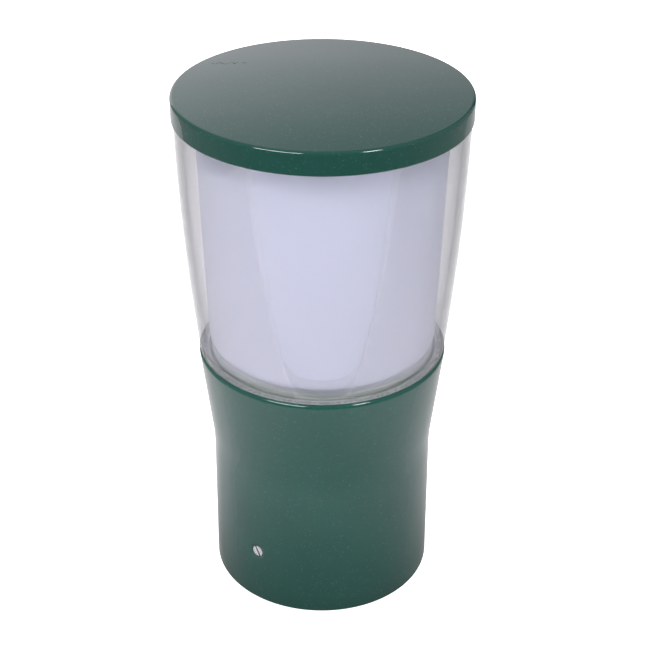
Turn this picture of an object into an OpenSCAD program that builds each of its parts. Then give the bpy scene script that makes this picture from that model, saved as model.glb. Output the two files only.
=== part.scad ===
// Post-top light head: a cast base that drops over a round post, a clear outer
// diffuser, an opal inner diffuser and a crowned lid held down by three tie rods.

/* [Post and base casting] */
// Outside diameter of the post that the head drops over
post_d = 133; // [114:0.5:168]
// Gap between post and socket, all round
post_clear = 0.5; // [0.3:0.1:1]
// Depth of the socket, from the bottom edge to the post stop
socket_depth = 70; // [60:1:90]
// Wall of the base casting at its bottom edge
socket_wall = 8.4; // [7:0.1:11]
// Width of the ledge that stops the post
stop_w = 5; // [4:0.5:7]
// How much the skirt narrows between its bottom edge and the flare
skirt_draft = 0.6; // [0:0.1:1.5]
// Height at which the flare begins
flare_z = 103.5; // [98:0.5:125]
// How far the flare widens the base, on the radius
flare_out = 8; // [5:0.5:12]
// Length of the soft bend between skirt and flare, each way
flare_bend = 9; // [4:1:14]
// Height of the base casting
base_h = 174.5; // [145:0.5:220]
// Radius of the rounded lip at the top of the base
lip_r = 2.5; // [1.5:0.1:2.8]
// Wall of the casting around the wiring chamber
chamber_wall = 5; // [4:0.5:6.5]
// Clear height between the post stop and the bulkhead
pocket_h = 23; // [21:1:30]
// Thickness of the bulkhead
bulkhead_t = 7; // [5:0.5:9]
// Radius of the bulkhead's middle opening
bulkhead_hole_r = 36; // [34:0.5:38]
// Thickness of the flange inside the rim
flange_t = 6; // [4:0.5:8]
// Chamfer at the mouth of the socket
mouth_chamfer = 1.5; // [0.5:0.1:2.5]
// Number of stiffening ribs in the wiring chamber
rib_count = 3; // [3:1:6]
// Thickness of each rib
rib_t = 4; // [3:0.5:6]

/* [Grub screws] */
// Thread diameter of the three grub screws
grub_d = 8; // [6:1:10]
// Height of the grub screws above the bottom edge
grub_z = 41; // [25:0.5:50]
// Direction of the first grub screw, in degrees
grub_angle = 234.2; // [0:0.1:360]
// Width of the driving slot
slot_w = 1.3; // [1:0.1:1.6]
// Depth of the driving slot
slot_depth = 2.5; // [1.5:0.1:3]
// How far the slot stands turned from upright, in degrees
slot_turn = 28; // [0:1:180]
// Chamfer around each grub screw's hole
grub_chamfer = 0.9; // [0.3:0.1:1.5]
// How far a grub screw's face sits below the skirt
grub_sink = 0.25; // [0.1:0.05:0.5]

/* [Diffusers] */
// Height of the clear part between rim and lid
diffuser_h = 163.7; // [130:0.1:210]
// How far the base rim stands outside the clear diffuser
rim_step = 0.55; // [0.2:0.05:1.5]
// How much wider the clear diffuser is at the lid than at the rim, on the radius
diffuser_taper = 10.9; // [4:0.1:16]
// Radius of the bulge in the clear diffuser's side
diffuser_curve = 1660; // [1200:10:4000]
// Wall of the clear diffuser
diffuser_wall = 5; // [4:0.1:6]
// Rounding of the clear diffuser's bottom edge
diffuser_edge = 2; // [1:0.1:2.4]
// Gap between clear and opal diffusers at the bottom
gap_bottom = 2.05; // [1:0.05:5]
// Gap between clear and opal diffusers at the lid
gap_top = 7.85; // [4:0.05:11]
// Wall of the opal diffuser
opal_wall = 2.5; // [1.5:0.1:3.5]
// Rounding of the opal diffuser's bottom corner
opal_corner = 8; // [5:0.5:9]
// Height of the spigot on top of the clear diffuser
spigot_h = 3; // [2:0.1:4]
// Width of that spigot
spigot_w = 2.4; // [2:0.1:2.8]
// How far the spigot sits in from the outside of the diffuser
spigot_in = 2.2; // [1.8:0.1:2.4]

/* [Seals] */
// Thickness of the ring that the opal diffuser stands on
seat_ring_t = 4; // [2:0.5:6]
// How far the seat ring sits in from the opal diffuser's side
seat_ring_in = 1; // [0.5:0.1:4]
// Depth of the rim seal in its groove
rim_seal_t = 1.2; // [0.8:0.1:2]
// Width of the rim seal
rim_seal_w = 3.9; // [3:0.1:4.5]
// Thickness of the seal in the lid's groove
lid_seal_t = 2; // [1:0.1:3]
// Thickness of the pad over the opal diffuser
pad_t = 3.7; // [2:0.1:4]
// Side gap of a seal in its groove
seal_gap = 0.1; // [0.05:0.05:0.3]

/* [Lid] */
// Height of the lid's side, from lower edge to shoulder
lid_h = 14.8; // [12:0.1:24]
// How far the lid stands outside the clear diffuser
lid_overhang = 1.15; // [0.3:0.05:4]
// Rounding of the lid's shoulder
lid_edge = 2.2; // [1:0.1:3.5]
// Rise of the lid's crown
crown_h = 3; // [1:0.1:8]
// Thickness of the lid's top
lid_t = 4.5; // [3:0.1:6]
// Thickness of the lid's side
lid_side = 7.3; // [7:0.1:9]
// Width of the land that presses on the opal diffuser's pad
land_w = 5.4; // [4:0.1:7]

/* [Tie rods] */
// Thread diameter of the tie rods
rod_d = 6; // [5:0.5:8]
// Distance between a tie rod and the side of the pocket under the bulkhead
rod_in = 8; // [7:0.5:12]
// Direction of the first tie rod, in degrees
rod_angle = 30; // [0:1:119]
// Diameter of the lid's bosses
boss_d = 15; // [12:0.5:20]
// How far the bosses reach below the lid's lower edge
boss_drop = 8; // [4:0.5:12]
// Space between tie rods and the opal diffuser's mouth
mouth_gap = 5; // [3:0.5:6]

/* [Lampholder and lamp] */
// Height of the lampholder's bracket
bracket_h = 48; // [40:1:60]
// Width of the bracket between its legs, outside
bracket_w = 44; // [40:1:48]
// Length of the bracket, front to back
bracket_l = 20; // [16:1:24]
// Outside radius of the lampholder
holder_r = 20; // [18.5:0.5:22]
// Height of the lampholder
holder_h = 40; // [36:1:44]
// Thickness of the lampholder's floor
holder_floor = 12; // [10:0.5:14]
// Radius of the lamp's cap
cap_r = 13.1; // [12.9:0.1:13.2]
// Radius of the lamp's globe
globe_r = 30; // [24:0.5:35]
// Length of the lamp, from contact to top
lamp_len = 113; // [100:1:130]

/* [Gear tray and terminals] */
// Thickness of the gear tray
tray_t = 2; // [1.5:0.1:3]
// Gap between the gear tray and the tie rods
tray_gap = 4.5; // [3:0.5:8]
// Distance between a pole of the terminal block and the next
pole_pitch = 10; // [9:0.5:12]
// Height of the terminal block
block_h = 17; // [15:0.5:20]
// Depth of the terminal block, front to back
block_l = 16; // [14:0.5:18]
// Distance of the terminal block from the middle
block_y = 32; // [30:0.5:34]
// Radius of the inner wires
wire_r = 1.2; // [0.9:0.1:1.4]

/* [Cable gland] */
// Thread radius of the cable gland
gland_r = 8; // [7:0.5:8]
// Radius of the hole through the gland's seal
cable_r = 5; // [3.5:0.5:5]
// Width across the flats of the gland's nuts
gland_flats = 20; // [19:1:22]

/* [Hidden] */

$fn = 96;
cut = 0.5;                // how far a cutter runs past the face it opens
thread_gap = 0.05;        // running gap of a thread, on the radius
body_gap = 0.3;           // gap between pieces that move apart
metal = "#315f58";        // green paint
steel = "#b9bcbf";
brass = "#c9a24a";
seal_grey = "#8d9692";

// Radii and heights of the base casting
bore_r = post_d / 2 + post_clear;
base_r = bore_r + socket_wall;
skirt_top_r = base_r - skirt_draft;
rim_r = skirt_top_r + flare_out;
pocket_r = bore_r - stop_w;
bulkhead_z = socket_depth + pocket_h;
tray_z = bulkhead_z + bulkhead_t;
flange_z = base_h - flange_t;
flare_rise = base_h - lip_r - flare_z;
flare_turn = atan(flare_out / flare_rise);
flare_slope = tan(flare_turn);
bottom_edge = 0.8;

// Tie rods and what clears them
rod_r = rod_d / 2;
rod_pos = pocket_r - rod_in;
mouth_r = rod_pos + rod_r + mouth_gap;
rod_foot = 9;
rod_bottom = bulkhead_z - rod_foot;
rod_hole_gap = 0.3;
washer_t = 1.6;
washer_r = rod_d;
rod_nut_t = 5;
rod_nut_flats = rod_d * 5 / 3;

// Diffusers and lid
lid_z = base_h + diffuser_h;
diffuser_low_r = rim_r - rim_step;
diffuser_top_r = diffuser_low_r + diffuser_taper;
opal_low_r = diffuser_low_r - diffuser_wall - gap_bottom;
opal_top_r = diffuser_top_r - diffuser_wall - gap_top;
opal_z = base_h + seat_ring_t;
opal_gap_top = 2;
opal_top_z = lid_z - opal_gap_top;
lid_r = diffuser_top_r + lid_overhang;
shoulder_z = lid_z + lid_h;
groove_w = spigot_w + 2 * body_gap;
groove_out_r = diffuser_top_r - spigot_in + body_gap;
groove_h = spigot_h + lid_seal_t;
rod_top = lid_z + boss_drop;
pad_low_z = opal_top_z + body_gap;
land_z = pad_low_z + pad_t;

// Lampholder, lamp and gland heights
bracket_t = 2;
bracket_z = tray_z + tray_t;
holder_z = bracket_z + bracket_h;
holder_top = holder_z + holder_h;
contact_h = 3.5;
lamp_z = holder_z + holder_floor + contact_h + body_gap;
tray_r = rod_pos - rod_r - tray_gap;
tray_screw_pos = tray_r - 5;
block_z = tray_z + tray_t;
earth_y = -28;

// Points of an arc, centre (cr, cz), radius r, from angle a to angle b
function arc(cr, cz, r, a, b, n) =
    [for (i = [0:n]) let (t = a + (b - a) * i / n) [cr + r * cos(t), cz + r * sin(t)]];

// Points of a soft bend that leaves p, turns at k and arrives at q
function bend(p, k, q, n) =
    [for (i = [0:n]) let (t = i / n) (1 - t) * (1 - t) * p + 2 * t * (1 - t) * k + t * t * q];

// The clear diffuser's side is one long arc through its two ends
side_chord = norm([diffuser_taper, diffuser_h]);
side_reach = sqrt(diffuser_curve * diffuser_curve - side_chord * side_chord / 4);
side_cr = (diffuser_low_r + diffuser_top_r) / 2 - side_reach * diffuser_h / side_chord;
side_cz = (base_h + lid_z) / 2 + side_reach * diffuser_taper / side_chord;
function side_r(z) = side_cr + sqrt(diffuser_curve * diffuser_curve - (z - side_cz) * (z - side_cz));
function side(z0, z1, inset, n) =
    [for (i = [0:n]) let (z = z0 + (z1 - z0) * i / n) [side_r(z) - inset, z]];

// The lid's crown is a low parabola
crown_r = lid_r - lid_edge;
function crown(r, drop) = [r, shoulder_z + crown_h * (1 - r * r / (crown_r * crown_r)) - drop];

// A round wire through hand-set points, as a tube of eight sides
wire_sides = 8;
wire_steps = 4;
function unit(v) = v / norm(v);
function spline(p, i, t) =
    let (n = len(p) - 1, a = p[max(i - 1, 0)], b = p[i], c = p[i + 1], d = p[min(i + 2, n)])
    0.5 * (2 * b + (c - a) * t + (2 * a - 5 * b + 4 * c - d) * t * t + (3 * b - a - 3 * c + d) * t * t * t);
function smooth(p) = concat([for (i = [0:len(p) - 2], s = [0:wire_steps - 1]) spline(p, i, s / wire_steps)],
                            [p[len(p) - 1]]);
function ring(p, t, r) =
    let (u = unit(cross(t, [1, 0.2, 0])), v = cross(t, u))
    [for (k = [0:wire_sides - 1]) let (a = 360 * k / wire_sides) p + r * (cos(a) * u + sin(a) * v)];

module wire(points) {
    path = smooth(points);
    last = len(path) - 1;
    rings = [for (i = [0:last]) ring(path[i], unit(path[min(i + 1, last)] - path[max(i - 1, 0)]), wire_r)];
    walls = [for (i = [0:last - 1], k = [0:wire_sides - 1])
        let (m = (k + 1) % wire_sides, a = i * wire_sides, b = a + wire_sides)
        [a + k, a + m, b + m, b + k]];
    ends = [[for (k = [wire_sides - 1:-1:0]) k], [for (k = [0:wire_sides - 1]) last * wire_sides + k]];
    polyhedron([for (r = rings) each r], concat(walls, ends));
}

// Small building blocks
module around(count, first, radius) {
    for (i = [0:count - 1]) rotate(first + 360 * i / count) translate([radius, 0, 0]) children();
}
module tube(r_out, r_in, z0, z1) {
    translate([0, 0, z0]) difference() {
        cylinder(r = r_out, h = z1 - z0);
        translate([0, 0, -cut]) cylinder(r = r_in, h = z1 - z0 + 2 * cut);
    }
}
module rod(r, z0, z1) {
    translate([0, 0, z0]) cylinder(r = r, h = z1 - z0);
}
module box_about(x, y, w, l, z0, z1) {
    translate([x - w / 2, y - l / 2, z0]) cube([w, l, z1 - z0]);
}
module hex(flats, z0, z1) {
    translate([0, 0, z0]) cylinder(r = flats / sqrt(3), h = z1 - z0, $fn = 6);
}
module hex_nut(flats, r_in, z0, z1) {
    difference() {
        hex(flats, z0, z1);
        rod(r_in, z0 - cut, z1 + cut);
    }
}
// A pan-head screw: its head stands on z, its shank reaches down from there
module pan_screw(r, head_r, head_h, z, length) {
    difference() {
        rod(head_r, z, z + head_h);
        box_about(0, 0, 2 * head_r + 1, r / 2, z + head_h / 2, z + head_h + cut);
    }
    rod(r, z - length, z);
}
module at_block(x) {
    translate([x, block_y, 0]) children();
}
module place_grub(k) {
    rotate(grub_angle + 120 * k) translate([0, 0, grub_z]) rotate([0, 90, 0]) children();
}

// Base casting
module base_shape() {
    lip = arc(rim_r - lip_r, base_h - lip_r, lip_r, -flare_turn, 90, 8);
    turn = [skirt_top_r, flare_z];
    below = [skirt_top_r + skirt_draft * flare_bend / flare_z, flare_z - flare_bend];
    above = turn + flare_bend * [flare_slope, 1];
    rotate_extrude() polygon(concat(
        [[bore_r + mouth_chamfer, 0]],
        arc(base_r - bottom_edge, bottom_edge, bottom_edge, -90, 0, 4),
        bend(below, turn, above, 10),
        lip,
        [[mouth_r - 1, base_h], [mouth_r - 1, flange_z],
         [chamber_r(flange_z), flange_z], [chamber_r(tray_z), tray_z],
         [bulkhead_hole_r, tray_z], [bulkhead_hole_r, bulkhead_z],
         [pocket_r, bulkhead_z], [pocket_r, socket_depth],
         [bore_r, socket_depth], [bore_r, mouth_chamfer]]));
}
function chamber_r(z) = skirt_top_r + max(0, z - flare_z) * flare_slope - chamber_wall;

module ribs() {
    rib_low = pocket_r + 1;
    intersection() {
        rotate(rod_angle + 60) for (i = [0:rib_count - 1]) rotate(360 * i / rib_count)
            translate([rib_low, -rib_t / 2, tray_z - 1]) cube([rim_r - rib_low, rib_t, flange_z - tray_z + 2]);
        rotate_extrude() polygon([[rib_low, tray_z - 1], [chamber_r(tray_z) + 1, tray_z - 1],
                                  [chamber_r(tray_z) + 1, tray_z], [chamber_r(flange_z) + 1, flange_z],
                                  [chamber_r(flange_z) + 1, flange_z + 1], [rib_low, flange_z + 1]]);
    }
}

seal_out_r = diffuser_low_r - diffuser_edge - seal_gap / 2;
module base_housing() {
    skirt_r = base_r - skirt_draft * grub_z / flare_z;
    color(metal) difference() {
        union() {
            base_shape();
            ribs();
        }
        for (k = [0:2]) place_grub(k) {
            rod(grub_d / 2 + thread_gap, bore_r - 2 * cut, base_r + cut);
            translate([0, 0, skirt_r - grub_chamfer])
                cylinder(r1 = grub_d / 2, r2 = grub_d / 2 + 2 * grub_chamfer, h = 2 * grub_chamfer);
        }
        around(3, rod_angle, rod_pos) rod(rod_r + rod_hole_gap, bulkhead_z - cut, tray_z + cut);
        around(3, rod_angle, tray_screw_pos) rod(2 + thread_gap, bulkhead_z - cut, tray_z + cut);
        tube(seal_out_r + seal_gap, seal_out_r - rim_seal_w - seal_gap, base_h - rim_seal_t, base_h + cut);
    }
}

// Seals and seats
module rim_seal() {
    color(seal_grey) tube(seal_out_r, seal_out_r - rim_seal_w, base_h - rim_seal_t, base_h);
}
module opal_seat_ring() {
    color(seal_grey) tube(opal_low_r - seat_ring_in, mouth_r, base_h, opal_z);
}
module lid_gasket() {
    color(seal_grey) tube(groove_out_r - seal_gap, groove_out_r - groove_w + seal_gap,
                          lid_z + spigot_h, lid_z + groove_h);
}
module opal_pad() {
    color(seal_grey) tube(opal_top_r + 1, opal_top_r + 1 - land_w, pad_low_z, land_z);
}

// Diffusers
module outer_diffuser() {
    edge_z = base_h + diffuser_edge;
    shoulder = lid_z - body_gap;
    spigot_top = lid_z + spigot_h - body_gap;
    spigot_r = diffuser_top_r - spigot_in;
    color("#dfe6ea", 0.35) rotate_extrude() polygon(concat(
        [[side_r(base_h) - diffuser_wall, base_h]],
        arc(side_r(edge_z) - diffuser_edge, edge_z, diffuser_edge, -90, -flare_turn, 6),
        side(edge_z + 1, shoulder, 0, 24),
        [[spigot_r, shoulder], [spigot_r, spigot_top],
         [spigot_r - spigot_w, spigot_top], [spigot_r - spigot_w, shoulder]],
        side(shoulder, edge_z, diffuser_wall, 24)));
}
module inner_diffuser() {
    draft = atan((opal_top_r - opal_low_r) / (opal_top_z - opal_z));
    start_r = opal_low_r + opal_corner * tan(draft) - opal_corner;
    inner_corner = opal_corner - opal_wall;
    color("#eef0fa") rotate_extrude() polygon(concat(
        [[mouth_r, opal_z]],
        arc(start_r, opal_z + opal_corner, opal_corner, -90, -draft, 10),
        [[opal_top_r, opal_top_z], [opal_top_r - opal_wall, opal_top_z]],
        arc(start_r, opal_z + opal_corner, inner_corner, -draft, -90, 8),
        [[mouth_r, opal_z + opal_wall]]));
}

// Lid and what it carries
module lid_cap() {
    side_in = lid_r - lid_side;
    under = shoulder_z - lid_t;
    land_out = opal_top_r + 1;
    color(metal) difference() {
        union() {
            rotate_extrude() polygon(concat(
                [for (i = [0:16]) crown(crown_r * i / 16, 0)],
                arc(lid_r - lid_edge, shoulder_z - lid_edge, lid_edge, 80, 0, 6),
                [[lid_r, lid_z], [side_in, lid_z], [side_in, under]],
                [[land_out, under], [land_out, land_z], [land_out - land_w, land_z]],
                [for (i = [12:-1:0]) crown((land_out - land_w) * i / 12, lid_t)]));
            around(3, rod_angle, rod_pos) rod(boss_d / 2, lid_z - boss_drop, shoulder_z);
        }
        tube(groove_out_r, groove_out_r - groove_w, lid_z - cut, lid_z + groove_h);
        around(3, rod_angle, rod_pos) rod(rod_r + thread_gap, lid_z - boss_drop - cut, rod_top + 1);
    }
}
module tie_rods() {
    color(steel) around(3, rod_angle, rod_pos) rod(rod_r, rod_bottom, rod_top);
}
module rod_locknuts() {
    boss_z = lid_z - boss_drop;
    color(steel) around(3, rod_angle, rod_pos) hex_nut(rod_nut_flats, rod_r + thread_gap, boss_z - rod_nut_t, boss_z);
}
module tie_washers() {
    color(steel) around(3, rod_angle, rod_pos)
        tube(washer_r, rod_r + rod_hole_gap, bulkhead_z - washer_t, bulkhead_z);
}
module tie_nuts() {
    nut_top = bulkhead_z - washer_t;
    color(steel) around(3, rod_angle, rod_pos) hex_nut(rod_nut_flats, rod_r + thread_gap, nut_top - rod_nut_t, nut_top);
}

// Grub screws
module grub_screw(k) {
    face_r = base_r - skirt_draft * grub_z / flare_z - grub_sink;
    point = grub_d / 8;
    color(steel) place_grub(k) difference() {
        union() {
            translate([0, 0, bore_r]) cylinder(r1 = grub_d / 2 - point, r2 = grub_d / 2, h = point);
            rod(grub_d / 2, bore_r + point, face_r);
        }
        rotate(slot_turn) box_about(0, 0, 2 * grub_d, slot_w, face_r - slot_depth, face_r + cut);
    }
}
module grub_screw_front() { grub_screw(0); }
module grub_screw_right() { grub_screw(1); }
module grub_screw_back() { grub_screw(2); }

// Gear tray and bracket
foot_l = 16;
foot_pos = bracket_w / 2 + foot_l / 2 + 1;
holder_screw_x = 12;
block_screw_x = pole_pitch / 2;
module gear_tray() {
    color(steel) difference() {
        rod(tray_r, tray_z, tray_z + tray_t);
        around(3, rod_angle, tray_screw_pos) rod(2.2, tray_z - cut, tray_z + tray_t + cut);
        rod(gland_r + 0.2, tray_z - cut, tray_z + tray_t + cut);
        for (s = [-1, 1]) {
            translate([s * foot_pos, 0, 0]) rod(2 + thread_gap, tray_z - cut, tray_z + tray_t + cut);
            at_block(s * block_screw_x) rod(1.5 + thread_gap, tray_z - cut, tray_z + tray_t + cut);
        }
        translate([0, earth_y, 0]) rod(2 + thread_gap, tray_z - cut, tray_z + tray_t + cut);
    }
}
module tray_screws() {
    color(steel) around(3, rod_angle, tray_screw_pos) pan_screw(2, 4, 2.6, tray_z + tray_t, tray_t + bulkhead_t - 1);
}
module lampholder_bracket() {
    leg = bracket_w / 2 - bracket_t / 2;
    color(steel) difference() {
        union() {
            box_about(0, 0, bracket_w, bracket_l, holder_z - bracket_t, holder_z);
            for (s = [-1, 1]) {
                box_about(s * leg, 0, bracket_t, bracket_l, bracket_z, holder_z);
                box_about(s * (leg + foot_l / 2), 0, foot_l, bracket_l, bracket_z, bracket_z + bracket_t);
            }
        }
        for (s = [-1, 1]) {
            translate([s * foot_pos, 0, 0]) rod(2.2, bracket_z - cut, bracket_z + bracket_t + cut);
            translate([s * holder_screw_x, 0, 0]) rod(2.2, holder_z - bracket_t - cut, holder_z + cut);
        }
    }
}
module bracket_screws() {
    top = bracket_z + bracket_t;
    color(steel) for (s = [-1, 1]) translate([s * foot_pos, 0, 0])
        pan_screw(2, 4, 2.6, top, bracket_t + tray_t + 2);
}

// Lampholder
socket_r = cap_r + 1.5;
shell_t = 0.5;
wire_hole_r = wire_r + 0.5;
wire_z = holder_z + holder_floor / 2;
wire_x = 8;
module lampholder_body() {
    color("#f1efe8") difference() {
        union() {
            rod(holder_r - 2, holder_z, holder_z + holder_floor);
            rod(holder_r, holder_z + holder_floor - 2, holder_top);
        }
        rod(socket_r, holder_z + holder_floor, holder_top + cut);
        for (s = [-1, 1]) {
            translate([s * holder_screw_x, 0, 0]) rod(2 + thread_gap, holder_z - cut, holder_z + 8);
            translate([s * wire_x, holder_r + 1, wire_z]) rotate([90, 0, 0]) cylinder(r = wire_hole_r, h = 10);
        }
    }
}
module lampholder_screws() {
    color(steel) for (s = [-1, 1]) translate([s * holder_screw_x, 0, 2 * (holder_z - bracket_t)])
        mirror([0, 0, 1]) pan_screw(2, 3.5, 2.4, holder_z - bracket_t, bracket_t + 7);
}
module screw_shell() {
    color(brass) tube(socket_r - 0.2, socket_r - 0.2 - shell_t, holder_z + holder_floor + 3, holder_top - 3);
}
module centre_contact() {
    floor_z = holder_z + holder_floor;
    color(brass) {
        box_about(0, 0, 14, 5, floor_z, floor_z + 1);
        rod(2.3, floor_z + 1, floor_z + contact_h);
    }
}

// Terminal block
sleeve = 6;
sleeve_z = block_z + 3;
clamp_y = 4.2;
block_top = block_z + block_h;
module terminal_block() {
    wide = 3 * pole_pitch;
    color("#e9e6dc") difference() {
        box_about(0, block_y, wide, block_l, block_z, block_top);
        for (p = [-1:1]) at_block(p * pole_pitch) {
            box_about(0, 0, sleeve + 0.2, block_l + 1, sleeve_z - 0.1, sleeve_z + sleeve + 0.1);
            for (s = [-1, 1]) translate([0, s * clamp_y, 0]) rod(2.2, sleeve_z + sleeve, block_top + cut);
        }
        for (s = [-1, 1]) at_block(s * block_screw_x) {
            rod(1.7, block_z - cut, block_top + cut);
            rod(1.9, block_top - 3, block_top + cut);
        }
        for (s = [-1, 1]) at_block(s * pole_pitch / 2)
            for (e = [-1, 1]) box_about(0, e * block_l / 2, 1.6, 3, sleeve_z + sleeve + 1, block_top + cut);
    }
}
module terminal_sleeves() {
    color(brass) for (p = [-1:1]) at_block(p * pole_pitch) difference() {
        box_about(0, 0, sleeve, block_l - 2, sleeve_z, sleeve_z + sleeve);
        translate([0, block_l, sleeve_z + sleeve / 2]) rotate([90, 0, 0]) cylinder(r = 1.9, h = 2 * block_l);
        for (s = [-1, 1]) translate([0, s * clamp_y, 0])
            rod(1.5 + thread_gap, sleeve_z + sleeve / 2, sleeve_z + sleeve + cut);
    }
}
module terminal_screws() {
    screw_low = sleeve_z + sleeve / 2 + wire_r + 0.1;
    head_z = sleeve_z + sleeve + 0.5;
    color(steel) for (p = [-1:1]) for (s = [-1, 1]) at_block(p * pole_pitch) translate([0, s * clamp_y, 0])
        pan_screw(1.5, 2, 3, head_z, head_z - screw_low);
}
module block_screws() {
    color(steel) for (s = [-1, 1]) at_block(s * block_screw_x)
        pan_screw(1.5, 1.8, 1.5, block_top - 3, block_h - 3 + tray_t + 1);
}

// Earth point
tag_t = 1;
barrel_r = 2.2;
barrel_l = 7;
module earth_tag() {
    barrel_z = block_z + barrel_r;
    color(brass) translate([0, earth_y, 0]) difference() {
        union() {
            rod(4, block_z, block_z + tag_t);
            box_about(0, 4, 4, 5, block_z, block_z + tag_t);
            translate([0, 5, barrel_z]) rotate([-90, 0, 0]) cylinder(r = barrel_r, h = barrel_l);
        }
        rod(2.2, block_z - cut, block_z + tag_t + cut);
        translate([0, 6, barrel_z]) rotate([-90, 0, 0]) cylinder(r = wire_r + 0.3, h = barrel_l);
    }
}
module earth_screw() {
    color(brass) translate([0, earth_y, 0]) pan_screw(2, 3.6, 2.4, block_z + tag_t, tag_t + tray_t + 2.5);
}

// Inner wires, each from its terminal to where it is fixed
terminal_z = sleeve_z + sleeve / 2;
module lamp_wire(s) {
    out = block_y - block_l / 2;
    wire([[s * pole_pitch, block_y - 5, terminal_z], [s * pole_pitch, out - 2, terminal_z],
          [s * (pole_pitch - 0.5), out - 4, terminal_z + 12], [s * (pole_pitch - 1), out, holder_z - 14],
          [s * wire_x, out + 2, holder_z - 2], [s * wire_x, holder_r + 1, wire_z],
          [s * wire_x, holder_r - 5, wire_z]]);
}
module live_wire() { color("#6b4326") lamp_wire(-1); }
module neutral_wire() { color("#2f5f9e") lamp_wire(1); }
module earth_wire() {
    out = block_y - block_l / 2;
    barrel_z = block_z + barrel_r;
    color("#5e9c3a") wire([[0, block_y - 5, terminal_z], [0, out - 3, terminal_z + 1],
                           [8, 12, terminal_z + 7], [14, 2, terminal_z + 9], [12, -8, terminal_z + 4],
                           [3, earth_y + 16.2, barrel_z + 1.8], [0.6, earth_y + 14.2, barrel_z + 0.3],
                           [0, earth_y + 12.2, barrel_z], [0, earth_y + 9.5, barrel_z],
                           [0, earth_y + 7, barrel_z]]);
}

// Cable gland, pointing down through the tray
gland_flange = 4.5;
gland_low = tray_z - 16;
seal_z = gland_low - 4;
module gland_body() {
    color("#3c3f41") difference() {
        union() {
            hex(gland_flats, tray_z - gland_flange, tray_z);
            rod(gland_r, gland_low, tray_z + tray_t + 8);
        }
        rod(cable_r + 0.5, gland_low - cut, tray_z + tray_t + 8 + cut);
        rod(gland_r - 1.2, gland_low - cut, gland_low + 4 + seal_gap);
    }
}
module gland_seal() {
    color("#2b2c2d") tube(gland_r - 1.3, cable_r, seal_z + body_gap, gland_low + 4);
}
module gland_locknut() {
    color("#3c3f41") hex_nut(gland_flats, gland_r + thread_gap, tray_z + tray_t, tray_z + tray_t + 4);
}
module gland_nut() {
    nut_top = tray_z - gland_flange - 1;
    color("#3c3f41") difference() {
        union() {
            hex(gland_flats, seal_z + 1, nut_top);
            rod(gland_flats / 2 - 0.5, seal_z - 2.5, nut_top);
        }
        rod(gland_r + thread_gap, seal_z, nut_top + cut);
        rod(cable_r + 1, seal_z - 3, seal_z + cut);
    }
}

// Lamp
cap_low = lamp_z + 3.2;
cap_top = holder_top + 2;
globe_z = lamp_z + lamp_len - globe_r;
neck_r = cap_r + 1;
joint_drop = globe_r * 0.56;
joint_z = globe_z - joint_drop;
joint_r = sqrt(globe_r * globe_r - joint_drop * joint_drop);
module lamp_contact() {
    color(steel) rotate_extrude() polygon([[0, lamp_z], [4.5, lamp_z], [5.2, lamp_z + 1],
                                           [cap_r - 1, cap_low], [0, cap_low]]);
}
module lamp_cap() {
    color(steel) rod(cap_r, cap_low, cap_top);
}
module lamp_housing() {
    color("#f4f4f2") rotate_extrude() polygon(concat(
        [[0, cap_top], [neck_r, cap_top]],
        bend([neck_r, cap_top + 2], [neck_r + 1, joint_z - 14], [joint_r, joint_z], 10),
        [[0, joint_z]]));
}
module lamp_globe() {
    color("#fbfbf7") rotate_extrude() difference() {
        translate([0, globe_z]) circle(r = globe_r);
        translate([0, globe_z]) circle(r = globe_r - 1.5);
        translate([-2 * globe_r, joint_z - 2 * globe_r]) square([4 * globe_r, 2 * globe_r]);
        translate([-2 * globe_r, joint_z - globe_r]) square([2 * globe_r, 4 * globe_r]);
    }
}

base_housing();
rim_seal();
opal_seat_ring();
outer_diffuser();
inner_diffuser();
lid_cap();
lid_gasket();
opal_pad();
tie_rods();
rod_locknuts();
tie_washers();
tie_nuts();
grub_screw_front();
grub_screw_right();
grub_screw_back();
gear_tray();
tray_screws();
lampholder_bracket();
bracket_screws();
lampholder_body();
lampholder_screws();
screw_shell();
centre_contact();
terminal_block();
terminal_sleeves();
terminal_screws();
block_screws();
earth_screw();
earth_tag();
live_wire();
neutral_wire();
earth_wire();
gland_body();
gland_seal();
gland_locknut();
gland_nut();
lamp_cap();
lamp_contact();
lamp_housing();
lamp_globe();
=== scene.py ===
"""Looks of a post-top light head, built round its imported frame."""

import logging
import math
from dataclasses import dataclass, field
from enum import Enum
from typing import Optional, Sequence, Union

import bpy
from mathutils import Euler, Matrix, Vector


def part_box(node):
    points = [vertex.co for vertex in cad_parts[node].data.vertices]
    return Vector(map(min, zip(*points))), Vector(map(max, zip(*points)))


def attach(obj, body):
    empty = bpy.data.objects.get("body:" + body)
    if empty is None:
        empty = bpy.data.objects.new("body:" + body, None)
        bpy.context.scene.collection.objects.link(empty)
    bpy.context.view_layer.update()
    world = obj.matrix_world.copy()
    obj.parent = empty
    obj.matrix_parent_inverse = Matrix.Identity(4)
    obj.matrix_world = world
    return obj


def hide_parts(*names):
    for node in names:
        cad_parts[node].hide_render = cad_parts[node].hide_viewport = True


log = logging.getLogger("post_top_light")
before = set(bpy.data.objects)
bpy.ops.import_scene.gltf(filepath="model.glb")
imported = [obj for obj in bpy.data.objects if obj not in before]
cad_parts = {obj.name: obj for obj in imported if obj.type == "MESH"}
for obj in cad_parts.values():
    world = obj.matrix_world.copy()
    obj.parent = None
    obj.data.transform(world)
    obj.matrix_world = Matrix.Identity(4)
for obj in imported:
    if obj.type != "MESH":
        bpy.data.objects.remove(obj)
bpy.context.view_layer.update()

Point = tuple[float, float]
Colour = tuple[float, float, float]
Number = Union[int, float]
MM = 0.001
TURN = 2 * math.pi


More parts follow.
